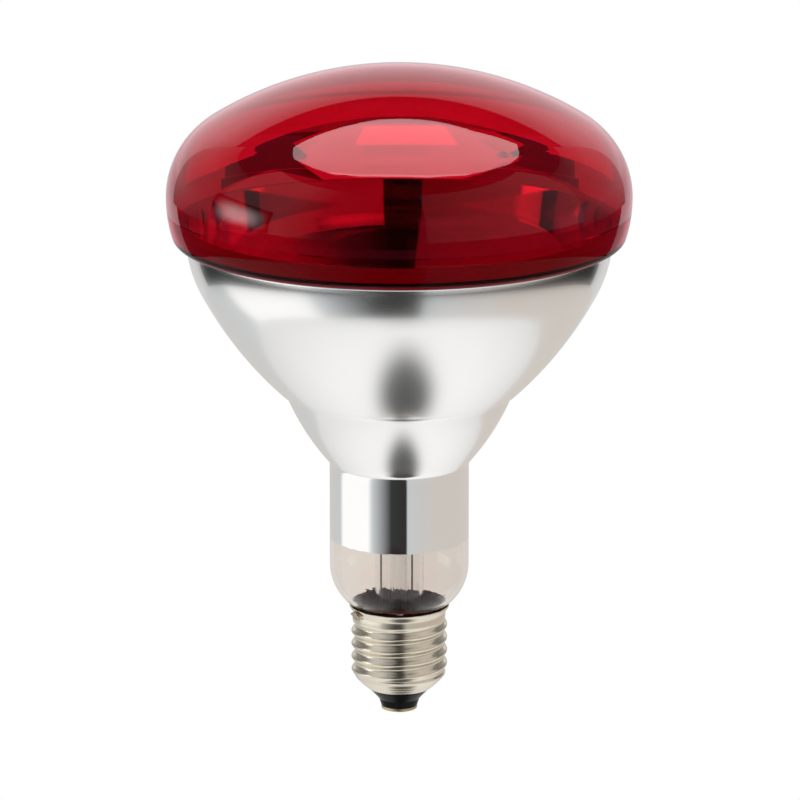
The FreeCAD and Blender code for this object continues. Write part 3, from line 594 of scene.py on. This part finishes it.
def makeCement():
    glass = [p for p in stretch("throatShoulder", "throatRoot") if p[1] < cement["glassTop"]]
    outline = [(bulb["throatRadius"], cement["low"])] + list(cement["outer"]) + list(cement["top"]) + glass

    def lumpy(radius, height, turn):
        if height / mm > cement["lumpyFrom"]:
            parts = [(share, scale, seed * radius / mm) for share, scale, seed in cement["topWaves"]]
            height += cement["topWander"] * mm * waves(turn, parts)
        return radius, height

    return spinOutline("unevenCement", inMetres(outline), cement["segments"], [bakedCement()], None, lumpy)


solder = {
    "angle": 211.0, "radius": 13.7, "height": 28.3,
    "reach": (0.85, 1.7, 1.25),  # outwards, along the rim and upwards
    "wander": 0.5, "wanderScale": 1.3, "wanderSeed": (4.1, 0.7, 2.2), "grain": 0.12, "grainScale": 4.0,
}


def makeSolder():
    # an uneven drop that has run a little down over the rim
    shape = bmesh.new()
    bmesh.ops.create_icosphere(shape, subdivisions=5, radius=1.0)
    turn = math.radians(solder["angle"])
    outward = Vector((math.cos(turn), math.sin(turn), 0))
    along = Vector((-math.sin(turn), math.cos(turn), 0))
    middle = outward * solder["radius"] * mm + Vector((0, 0, solder["height"] * mm))
    seed = Vector(solder["wanderSeed"])
    for vertex in shape.verts:
        spot = vertex.co.copy()
        grow = 1 + solder["wander"] * noise.noise(spot * solder["wanderScale"] + seed)
        grow += solder["grain"] * noise.noise(spot * solder["grainScale"])
        out, side, up = (spot[i] * solder["reach"][i] * grow * mm for i in range(3))
        vertex.co = middle + outward * out + along * side + Vector((0, 0, up))
    bmesh.ops.recalc_face_normals(shape, faces=shape.faces)
    mesh = bpy.data.meshes.new("solderDrop")
    shape.to_mesh(mesh)
    shape.free()
    mesh.polygons.foreach_set("use_smooth", [True] * len(mesh.polygons))
    mesh.materials.append(plainMetal("solderGrey", (0.66, 0.6, 0.48, 1), (0.36, 0.3, 0.22, 1), 0.22, 0.5))
    return addObject("solderDrop", mesh)


# The filament: a fine wire wound round an open ring, made by a node tree

coil = {
    "ringRadius": 13.0, "coilRadius": 0.86, "wireRadius": 0.12, "wireSides": 7,
    "turns": 96, "pointsPerTurn": 14,
    "gapAngle": 25.0,  # half of the ring's opening, in degrees
}


def coilTree(material):
    tree = bpy.data.node_groups.new("coilAlongRing", "GeometryNodeTree")
    tree.is_modifier = True
    for name, value in (("Ring Radius", coil["ringRadius"] * mm), ("Coil Radius", coil["coilRadius"] * mm),
                        ("Wire Radius", coil["wireRadius"] * mm), ("Height", 0.0), ("Turns", coil["turns"]),
                        ("Gap", math.radians(coil["gapAngle"]))):
        tree.interface.new_socket(name, in_out="INPUT", socket_type="NodeSocketFloat").default_value = value
    tree.interface.new_socket("Geometry", in_out="OUTPUT", socket_type="NodeSocketGeometry")
    source, sink = addNode(tree, "NodeGroupInput"), addNode(tree, "NodeGroupOutput")
    gap, ringRadius, coilRadius = (source.outputs[name] for name in ("Gap", "Ring Radius", "Coil Radius"))
    link = tree.links.new

    def calc(operation, *values):
        return mathNode(tree, operation, *values)

    pieces = coil["turns"] * coil["pointsPerTurn"]
    line = addNode(tree, "GeometryNodeMeshLine")
    line.inputs["Count"].default_value = pieces + 1
    curve = addNode(tree, "GeometryNodeMeshToCurve")
    link(line.outputs["Mesh"], curve.inputs["Mesh"])
    index = addNode(tree, "GeometryNodeInputIndex")
    share = calc("DIVIDE", index.outputs[0], pieces)
    sweep = calc("SUBTRACT", 2 * math.pi, calc("MULTIPLY", gap, 2.0))
    along = calc("ADD", calc("MULTIPLY", share, sweep), calc("SUBTRACT", gap, math.pi / 2))
    around = calc("MULTIPLY", calc("MULTIPLY", share, source.outputs["Turns"]), 2 * math.pi)
    reach = calc("ADD", ringRadius, calc("MULTIPLY", coilRadius, calc("COSINE", around)))
    height = calc("ADD", source.outputs["Height"], calc("MULTIPLY", coilRadius, calc("SINE", around)))
    spot = addNode(tree, "ShaderNodeCombineXYZ")
    link(calc("MULTIPLY", reach, calc("COSINE", along)), spot.inputs[0])
    link(calc("MULTIPLY", reach, calc("SINE", along)), spot.inputs[1])
    link(height, spot.inputs[2])
    move = addNode(tree, "GeometryNodeSetPosition")
    link(curve.outputs["Curve"], move.inputs["Geometry"])
    link(spot.outputs[0], move.inputs["Position"])
    section = addNode(tree, "GeometryNodeCurvePrimitiveCircle")
    section.inputs["Resolution"].default_value = coil["wireSides"]
    link(source.outputs["Wire Radius"], section.inputs["Radius"])
    wire = addNode(tree, "GeometryNodeCurveToMesh")
    link(move.outputs["Geometry"], wire.inputs["Curve"])
    link(section.outputs["Curve"], wire.inputs["Profile Curve"])
    wire.inputs["Fill Caps"].default_value = True
    real = addNode(tree, "GeometryNodeRealizeInstances")
    link(wire.outputs["Mesh"], real.inputs["Geometry"])
    paint = addNode(tree, "GeometryNodeSetMaterial")
    paint.inputs["Material"].default_value = material
    link(real.outputs["Geometry"], paint.inputs["Geometry"])
    link(paint.outputs["Geometry"], sink.inputs["Geometry"])
    return tree


def makeCoil(material):
    # the ring's height comes from the solid that it replaces
    heights = [corner[2] for corner in nodes["filament"].bound_box]
    middle = (max(heights) + min(heights)) / 2
    tree = coilTree(material)
    holder = addObject("coilHolder", bpy.data.meshes.new("coilHolder"))
    modifier = holder.modifiers.new("coil", "NODES")
    modifier.node_group = tree
    for item in tree.interface.items_tree:
        if item.name == "Height":
            modifier[item.identifier] = middle
    graph = bpy.context.evaluated_depsgraph_get()
    mesh = bpy.data.meshes.new_from_object(holder.evaluated_get(graph), depsgraph=graph)
    bpy.data.objects.remove(holder)
    mesh.polygons.foreach_set("use_smooth", [True] * len(mesh.polygons))
    return addObject("filamentCoil", mesh)


def dress(piece, nodeName):
    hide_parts(nodeName)
    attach(piece, "root")


dress(makeRubyFront(), "red_coating")
dress(makeMirroredBowl(), "mirror_coating")
dress(makeGlassNeck(), "glass_bulb")
dress(makeCement(), "capping_cement")
dress(makeSolder(), "side_solder")
coilMetal = plainMetal("coilWire", (0.25, 0.25, 0.26, 1), (0.12, 0.12, 0.12, 1), 0.35, 0.5)
dress(makeCoil(coilMetal), "filament")
print("glass pieces made")


# Carried-over pieces keep their solids and get a finish

supportWires = 5


def finishNodes():
    finishes = {
        "stem_flare": clearGlass("stemGlass", (0.95, 0.95, 0.95, 1), 1.35),
        "cap_shell": platedShell(),
        "cap_insulator": blackGlass(),
        "centre_contact": plainMetal("contactBrass", (0.6, 0.5, 0.3, 1), (0.4, 0.32, 0.18, 1), 0.25, 0.4),
        "contact_solder": plainMetal("contactSolder", (0.62, 0.62, 0.62, 1), (0.35, 0.34, 0.33, 1),
                                     0.25, 0.5),
        "shell_lead": plainMetal("outerWire", (0.2, 0.15, 0.11, 1), (0.08, 0.06, 0.05, 1), 0.35, 0.6),
        "lead_left": plainMetal("nickelWire", (0.5, 0.48, 0.45, 1), (0.3, 0.28, 0.27, 1), 0.25, 0.4),
    }
    finishes["exhaust_tube"] = finishes["support_rod"] = finishes["stem_flare"]
    finishes["contact_lead"] = finishes["shell_lead"]
    finishes["lead_right"] = finishes["lead_left"]
    for number in range(1, supportWires + 1):
        finishes[f"support_wire_{number}"] = coilMetal
    for name, material in finishes.items():
        mesh = nodes[name].data
        mesh.materials.clear()
        mesh.materials.append(material)


finishNodes()
print("carried-over pieces finished")


# The stage, in metres and degrees: pale floor, white backdrop and light panels round a dark camera side

stage = {"dark": 0.012, "patchStep": 4}  # the world's level, and how finely patches are divided
white, warm, blue = (1, 1, 1), (1, 0.93, 0.86), (0.93, 0.97, 1.0)


def tinted(colour, level):
    return tuple(part * level for part in colour)


def grey(level):
    return tinted(white, level)


def newLight(name):
    material = bpy.data.materials.new(name)
    material.use_nodes = True
    tree = material.node_tree
    tree.nodes.clear()
    out = addNode(tree, "ShaderNodeOutputMaterial")
    light = addNode(tree, "ShaderNodeEmission")
    tree.links.new(light.outputs[0], out.inputs["Surface"])
    return material, tree, light


def rampGlow(name, glow, across=((0, white),), upwards=((0, 1),), floor=0.0):
    # a panel whose colour runs along its width and whose level runs along its height, down to a floor
    material, tree, light = newLight(name)
    parts = coordinates(tree, "UV")[1]
    ramps = []
    for axis, stops in enumerate((across, upwards)):
        ramp = addNode(tree, "ShaderNodeValToRGB")
        tree.links.new(parts[axis], ramp.inputs["Fac"])
        elements = ramp.color_ramp.elements
        while len(elements) < len(stops):
            elements.new(1.0)
        while len(elements) > len(stops):
            elements.remove(elements[-1])
        for element, (share, level) in zip(elements, stops):
            element.position = share
            element.color = (*level, 1) if isinstance(level, tuple) else (level, level, level, 1)
        ramps.append(ramp)
    tree.links.new(ramps[0].outputs["Color"], light.inputs["Color"])
    strength = mathNode(tree, "MULTIPLY", ramps[1].outputs["Color"], glow * (1 - floor))
    tree.links.new(mathNode(tree, "ADD", strength, glow * floor), light.inputs["Strength"])
    return material


def curvedPanel(name, columns, rows, place, material, rays):
    # a grid of faces, each corner placed by its shares across and up
    vertices, faces, spots = [], [], []
    for row in range(rows + 1):
        for column in range(columns + 1):
            spots.append((column / columns, row / rows))
            vertices.append(place(*spots[-1]))
    for row in range(rows):
        for column in range(columns):
            first = row * (columns + 1) + column
            faces.append((first, first + 1, first + columns + 2, first + columns + 1))
    mesh = bpy.data.meshes.new(name)
    mesh.from_pydata(vertices, [], faces)
    layer = mesh.uv_layers.new(name="panel")
    for loop in mesh.loops:
        layer.data[loop.index].uv = spots[loop.vertex_index]
    mesh.materials.append(material)
    return lightOnly(addObject(name, mesh), rays)


def lightOnly(panel, rays="both"):
    # rays says which paths meet the panel: those off a surface, those through glass, or both
    panel.visible_camera = False
    panel.visible_glossy = rays != "through"
    panel.visible_transmission = rays != "off"
    return panel


def skyPatch(name, azimuths, elevations, distance, material, rays):
    # part of a sphere round the lamp bulb; azimuth counts from the camera side to the right
    def place(across, up):
        turn = math.radians(azimuths[0] + (azimuths[1] - azimuths[0]) * across)
        rise = math.radians(elevations[0] + (elevations[1] - elevations[0]) * up)
        return (distance * math.sin(turn) * math.cos(rise), -distance * math.cos(turn) * math.cos(rise),
                view["aimHeight"] + distance * math.sin(rise))

    columns, rows = (max(2, round(abs(b - a) / stage["patchStep"])) for a, b in (azimuths, elevations))
    return curvedPanel(name, columns, rows, place, material, rays)


# the table: places are x, y and two reaches; fades are start and end, and for a dark place the least share
table = {
    "height": -0.16, "radius": 0.62, "steps": 64,
    "middle": (0.02, -0.05, 1, 1), "fade": (0.05, 0.42), "glow": 1.02, "rimGlow": 0.72,
    "darkBelow": (0.012, -0.022, 0.06, 0.13), "belowFade": (0.45, 1.15, 0.06),
    "darkFront": (0.01, -0.62, 0.16, 0.42), "frontFade": (0.3, 1.1, 0.18),
}
# a low round wall on it, tinted by azimuth: dark at the camera, white to the left and grey to the right
lowWall = {
    "radius": 0.3, "top": 0.0, "glow": 1.08, "columns": 120,
    "tints": ((-180, warm, 0.6), (-112, blue, 0.6), (-104, white, 1.0), (-52, white, 1.0),
              (-44, blue, 0.62), (-30, blue, 0.34), (-20, blue, 0.16), (-13, blue, 0.04),
              (12.2, warm, 0.03), (12.8, blue, 0.6), (60, warm, 0.6), (180, warm, 0.6)),
}


def lowRing():
    radius, low, high = lowWall["radius"], table["height"], lowWall["top"]

    def place(across, up):
        turn = math.radians(360 * across - 180)
        return radius * math.sin(turn), -radius * math.cos(turn), low + (high - low) * up

    stops = tuple(((azimuth + 180) / 360, tinted(colour, level))
                  for azimuth, colour, level in lowWall["tints"])
    light = rampGlow("lowRingLight", lowWall["glow"], stops)
    curvedPanel("lowRing", lowWall["columns"], 1, place, light, "off")


# light patches: azimuths, elevations, distance, glow, colours across, levels upwards, floor and rays
patches = {
    "insideRight": ((9, 150), (-12, 27), 1.30, 0.68, ((0, white),), ((0, 1),), 0, "through"),
    "insideRightHigh": ((9, 150), (27, 62), 1.30, 0.6,
                        ((0, grey(0.05)), (0.2, grey(0.1)), (0.34, grey(0.45)), (0.5, white)),
                        ((0, 1), (1, 0.8)), 0, "through"),
    "insideLeft": ((-150, -12.8), (-12, 62), 1.30, 0.47,
                   ((0, white), (0.6, white), (1, grey(0.62))), ((0, 1),), 0, "through"),
    "spotLeft": ((-106, -72), (-9, 11), 1.2, 2.1,
                 ((0, grey(0.3)), (0.25, white), (0.92, white), (1, grey(0.4))),
                 ((0, 1), (0.8, 1), (1, 0.1)), 0.2, "through"),
    "spotRight": ((80, 106), (-9, 10), 1.2, 1.8,
                  ((0, grey(0.4)), (0.2, white), (0.8, white), (1, grey(0.4))),
                  ((0, 1), (0.75, 1), (1, 0.1)), 0.3, "through"),
    "spotFront": ((9, 50), (14, 26), 1.28, 1.3,
                  ((0, grey(0.75)), (0.3, white), (0.7, white), (1, grey(0.45))),
                  ((0, 0.75), (0.5, 1), (1, 0.45)), 0, "through"),
    "throughBelow": ((-180, 180), (-88, -12), 1.25, 0.78,
                     ((0, tinted(warm, 0.98)), (0.5, (0.9, 0.88, 0.86)), (1, tinted(warm, 0.9))),
                     ((0, 1),), 0, "through"),
    "sideLeft": ((-145, -100), (-8, 40), 1.8, 0.45, ((0, white), (0.5, grey(0.6)), (1, grey(0.4))),
                 ((0, 0.3), (0.25, 1), (0.75, 1), (1, 0.4)), 0, "off"),
    "sideRight": ((100, 145), (-8, 40), 1.8, 0.45, ((0, grey(0.4)), (0.5, grey(0.6)), (1, white)),
                  ((0, 0.3), (0.25, 1), (0.75, 1), (1, 0.4)), 0, "off"),
    "frontLeft": ((-101, -13), (-5, 55), 2.0, 0.34,
                  ((0, white), (0.45, white), (0.7, grey(0.12)), (1, grey(0.03))), ((0, 1),), 0, "off"),
    "frontRight": ((13, 101), (-5, 55), 2.0, 0.3, ((0, grey(0.45)), (1, white)), ((0, 1),), 0, "off"),
}


def glowMaterial(name, glow, softness=0.0):
    # an even light panel, or one that fades out over a soft border
    material, tree, light = newLight(name)
    light.inputs["Strength"].default_value = glow
    if softness:
        parts = coordinates(tree, "UV")[1]
        edges = []
        for axis in (0, 1):
            reach = mathNode(tree, "ABSOLUTE", mathNode(tree, "SUBTRACT", parts[axis], 0.5))
            edges.append(smoothMask(tree, reach, 0.5, 0.5 - softness))
        level = mathNode(tree, "MULTIPLY", mathNode(tree, "MULTIPLY", *edges), glow)
        tree.links.new(level, light.inputs["Strength"])
    return material


def makePanel(name, corners, material, rays="both"):
    mesh = bpy.data.meshes.new(name)
    mesh.from_pydata(corners, [], [tuple(range(len(corners)))])
    layer = mesh.uv_layers.new(name="panel")
    for loop, spot in zip(layer.data, ((0, 0), (1, 0), (1, 1), (0, 1))):
        loop.uv = spot
    mesh.materials.append(material)
    return lightOnly(addObject(name, mesh), rays)


leftLamp = {
    "azimuth": -84, "elevation": 8, "distance": 1.3, "width": 0.9, "height": 0.55,
    "glow": 4.0, "softness": 0.45,
}


def makeLeftLamp():
    # a flat panel that faces the lamp bulb; azimuth counts from the camera side to the right
    turn, rise = math.radians(leftLamp["azimuth"]), math.radians(leftLamp["elevation"])
    outward = Vector((math.sin(turn) * math.cos(rise), -math.cos(turn) * math.cos(rise), math.sin(rise)))
    side = Vector((math.cos(turn), math.sin(turn), 0))
    above = outward.cross(side)
    middle = Vector((0, 0, view["aimHeight"])) + outward * leftLamp["distance"]
    corners = [middle + side * a * leftLamp["width"] / 2 + above * b * leftLamp["height"] / 2
               for a, b in ((-1, -1), (1, -1), (1, 1), (-1, 1))]
    material = glowMaterial("leftLampWhite", leftLamp["glow"], leftLamp["softness"])
    makePanel("leftLamp", [tuple(corner) for corner in corners], material, "off")


def seenThrough(x, y, depth):
    # the spot on an upright plane behind the lamp bulb that shows at a picture point
    pitch = math.radians(view["pitch"])
    ahead = Vector((0, math.cos(pitch), -math.sin(pitch)))
    above = Vector((0, math.sin(pitch), math.cos(pitch)))
    eye = Vector((view["aimAcross"], 0, view["aimHeight"])) - ahead * view["distance"]
    half = view["pictureWidth"] / 2
    across = Vector((1, 0, 0)) * (x - half) / view["focalPixels"]
    ray = ahead + across + above * (half - y) / view["focalPixels"]
    return tuple(eye + ray * (depth - eye.y) / ray.y)


# light cards behind the red front: depth, glow and picture points of the corners
backCards = {
    "cardDark": (0.34, 0.2, ((205, 92), (595, 92), (595, 205), (205, 205))),
    "cardBand": (0.335, 0.6, ((190, 84), (610, 84), (600, 112), (200, 112))),
    "cardCrown": (0.33, 1.22, ((120, 30), (120, 176), (192, 156), (222, 140), (250, 124), (285, 110),
                               (325, 100), (370, 92), (430, 92), (462, 98), (500, 108), (545, 120),
                               (600, 140), (680, 170), (680, 30))),
    "cardMiddle": (0.32, 1.1, ((322, 168), (484, 168), (535, 128), (500, 112), (440, 104), (360, 104),
                               (315, 114), (285, 128))),
    "cardBright": (0.315, 1.85, ((352, 134), (362, 108), (448, 108), (462, 134))),
    "cardBar": (0.31, 0.95, ((362, 148), (426, 148), (426, 136), (362, 136))),
    "cardLeft": (0.30, 0.68, ((140, 225), (378, 225), (378, 182), (336, 176), (318, 168), (268, 154),
                              (222, 176))),
    "cardRight": (0.30, 0.42, ((430, 225), (660, 225), (580, 176), (510, 140), (484, 158), (436, 176))),
    "cardFoot": (0.29, 0.03, ((380, 225), (428, 225), (432, 208), (444, 196), (461, 187), (458, 180),
                              (440, 172), (428, 166), (380, 166))),
}
# the overhead light that the red front mirrors, with a brighter strip: metres across and away
overhead = {
    "height": 1.1, "glow": 2.7, "rimDrop": 0.01, "rimGlow": 4.4,
    "outline": ((-0.49, 0.41), (-0.47, 0.62), (-0.36, 0.66), (-0.22, 0.69), (-0.08, 0.72), (0.14, 0.72),
                (0.32, 0.69), (0.53, 0.74), (0.57, 0.5), (0.58, 0.28), (0.51, 0.08), (0.4, -0.1),
                (0.17, -0.2), (-0.22, -0.17), (-0.4, -0.06), (-0.46, 0.14)),
    "rim": ((-0.4, -0.06), (-0.22, -0.17), (0.17, -0.2), (0.4, -0.1), (0.42, -0.06), (0.16, -0.14),
            (-0.21, -0.11), (-0.38, -0.02)),
}


def tableMaterial():
    # pale table, dimmer towards its rim, with a soft dark place below the cap and one towards the camera
    material, tree, light = newLight("tableWhite")
    parts = coordinates(tree, "Object")[1]

    def calc(operation, *values):
        return mathNode(tree, operation, *values)

    def away(x, y, reachX, reachY):
        across = calc("DIVIDE", calc("SUBTRACT", parts[0], x), reachX)
        along = calc("DIVIDE", calc("SUBTRACT", parts[1], y), reachY)
        return calc("SQRT", calc("ADD", calc("MULTIPLY", across, across), calc("MULTIPLY", along, along)))

    level = smoothMask(tree, away(*table["middle"]), *table["fade"], table["glow"], table["rimGlow"])
    below = smoothMask(tree, away(*table["darkBelow"]), *table["belowFade"], 1.0)
    front = smoothMask(tree, away(*table["darkFront"]), *table["frontFade"], 1.0)
    tree.links.new(calc("MULTIPLY", level, calc("MULTIPLY", below, front)), light.inputs["Strength"])
    return material


def makeTable():
    radius, steps = table["radius"], table["steps"]
    turns = [2 * math.pi * i / steps for i in range(steps)]
    rim = [(radius * math.cos(turn), radius * math.sin(turn), table["height"]) for turn in turns]
    mesh = bpy.data.meshes.new("table")
    mesh.from_pydata(rim, [], [tuple(range(steps))])
    mesh.materials.append(tableMaterial())
    lightOnly(addObject("table", mesh), "off")


# the backdrop's top is an angle above the aim point; its levels change at that point's height
backdrop = {
    "distance": 1.7, "half": 1.45, "drop": 1.1, "topAngle": 41.0, "glow": 1.0,
    "lowLevel": 0.68, "middleLevel": 0.95, "change": (-0.02, 0.04), "high": (0.8, 0.75), "top": (1, 0.35),
}


def makeBackdrop():
    far, wide, low = backdrop["distance"], backdrop["half"], -backdrop["drop"]
    top = view["aimHeight"] + far * math.tan(math.radians(backdrop["topAngle"]))
    share = (view["aimHeight"] - low) / (top - low)
    start, end = (share + step for step in backdrop["change"])
    levels = ((0, backdrop["lowLevel"]), (start, backdrop["lowLevel"]), (end, backdrop["middleLevel"]),
              backdrop["high"], backdrop["top"])
    makePanel("backdrop", [(-wide, far, low), (wide, far, low), (wide, far, top), (-wide, far, top)],
              rampGlow("backdropLight", backdrop["glow"], upwards=levels))


def makeStage():
    makeTable()
    lowRing()
    makeBackdrop()
    height = view["aimHeight"] + overhead["height"]
    makePanel("overhead", [(x, y, height) for x, y in overhead["outline"]],
              glowMaterial("overheadLight", overhead["glow"]))
    makePanel("overheadRim", [(x, y, height - overhead["rimDrop"]) for x, y in overhead["rim"]],
              glowMaterial("overheadRimLight", overhead["rimGlow"]))
    makeLeftLamp()
    for name, (depth, glow, spots) in backCards.items():
        corners = [seenThrough(x, y, depth) for x, y in spots]
        makePanel(name, corners, glowMaterial(name + "Light", glow), "through")
    for name, (azimuths, elevations, distance, glow, across, upwards, floor, rays) in patches.items():
        material = rampGlow(name + "Light", glow, across, upwards, floor)
        skyPatch(name, azimuths, elevations, distance, material, rays)


# extra light that only the cap shell mirrors, dark where the camera stands
capFill = {
    "azimuths": (-150, 150), "elevations": (2, 60), "distance": 1.9, "glow": 0.45,
    "across": ((0, grey(0.4)), (0.25, white), (0.42, grey(0.8)), (0.462, grey(0.04)), (0.538, grey(0.04)),
               (0.545, tinted(warm, 0.9)), (0.75, warm), (1, tinted(warm, 0.4))),
    "receiver": "cap_shell",
}


def makeCapFill():
    material = rampGlow("capFillLight", capFill["glow"], capFill["across"])
    tree = material.node_tree
    out = next(node for node in tree.nodes if node.type == "OUTPUT_MATERIAL")
    light = next(node for node in tree.nodes if node.type == "EMISSION")
    both, clear = addNode(tree, "ShaderNodeAddShader"), addNode(tree, "ShaderNodeBsdfTransparent")
    tree.links.new(light.outputs[0], both.inputs[0])
    tree.links.new(clear.outputs[0], both.inputs[1])
    tree.links.new(both.outputs[0], out.inputs["Surface"])
    panel = skyPatch("capFill", capFill["azimuths"], capFill["elevations"], capFill["distance"],
                     material, "off")
    receivers = bpy.data.collections.new("capFillReceivers")
    receivers.objects.link(nodes[capFill["receiver"]])
    panel.light_linking.receiver_collection = receivers


def makeWorld():
    world = bpy.data.worlds.new("studio")
    world.use_nodes = True
    tree = world.node_tree
    tree.nodes.clear()
    out = addNode(tree, "ShaderNodeOutputWorld")
    dark = addNode(tree, "ShaderNodeBackground")
    bright = addNode(tree, "ShaderNodeBackground")
    pick = addNode(tree, "ShaderNodeMixShader")
    path = addNode(tree, "ShaderNodeLightPath")
    dark.inputs["Color"].default_value = (*grey(stage["dark"]), 1)
    bright.inputs["Color"].default_value = (1, 1, 1, 1)
    tree.links.new(path.outputs["Is Camera Ray"], pick.inputs["Fac"])
    tree.links.new(dark.outputs[0], pick.inputs[1])
    tree.links.new(bright.outputs[0], pick.inputs[2])
    tree.links.new(pick.outputs[0], out.inputs["Surface"])
    bpy.context.scene.world = world


makeStage()
makeCapFill()
makeWorld()
scene = bpy.context.scene
scene.view_settings.view_transform = "Standard"
scene.cycles.max_bounces = 24
scene.cycles.glossy_bounces = 12
scene.cycles.transmission_bounces = 20
scene.cycles.transparent_max_bounces = 16
print("stage lit")
